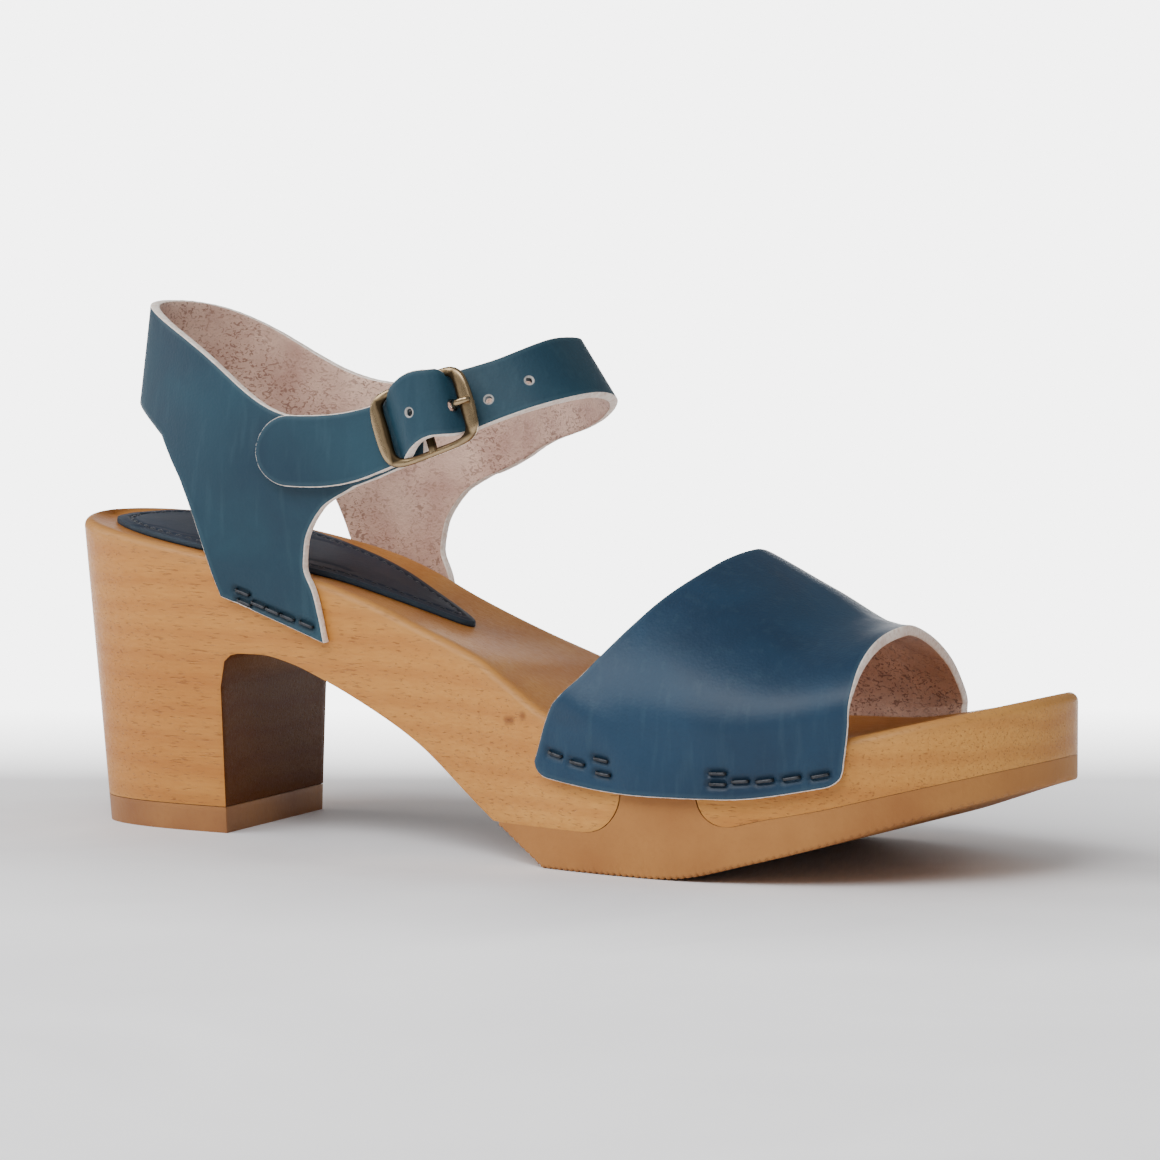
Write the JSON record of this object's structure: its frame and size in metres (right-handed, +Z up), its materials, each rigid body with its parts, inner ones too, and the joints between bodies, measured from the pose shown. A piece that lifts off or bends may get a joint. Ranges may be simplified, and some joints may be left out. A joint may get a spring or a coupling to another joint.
{
  "type": "clog sandal",
  "caption": "Right clog sandal: high block-heeled wooden sole with rubber treads, wide open-toed leather vamp and a heel quarter with a buckled ankle strap.",
  "frame": {"origin": "on the floor under the middle of the heel", "axes": "+X along the sole to the toe, +Y to the wearer's inner side, +Z up"},
  "size_m": [0.2478, 0.0936, 0.121],
  "materials": {
    "wood": "oiled, honey coloured, fine lengthwise grain",
    "tread_rubber": "matt tan, finely grooved underneath",
    "lift_rubber": "matt tan brown",
    "sock_leather": "soft dark blue, slightly glossy",
    "petrol_leather": "smooth waxed petrol blue outside, raw pinkish inside and at the cut edges",
    "strap_leather": "smooth waxed petrol blue outside, raw pinkish inside and at the cut edges",
    "antique_brass": "dark antique, rubbed bright on its high spots",
    "prong_brass": "dark antique"
  },
  "bodies": {
    "root": {"sole_wood": "wood", "outsole": "tread_rubber", "heel_lift": "lift_rubber", "insole": "sock_leather", "vamp": "petrol_leather", "quarter": "strap_leather", "buckle_frame": "antique_brass", "buckle_prong": "prong_brass"}
  },
  "joints": []
}
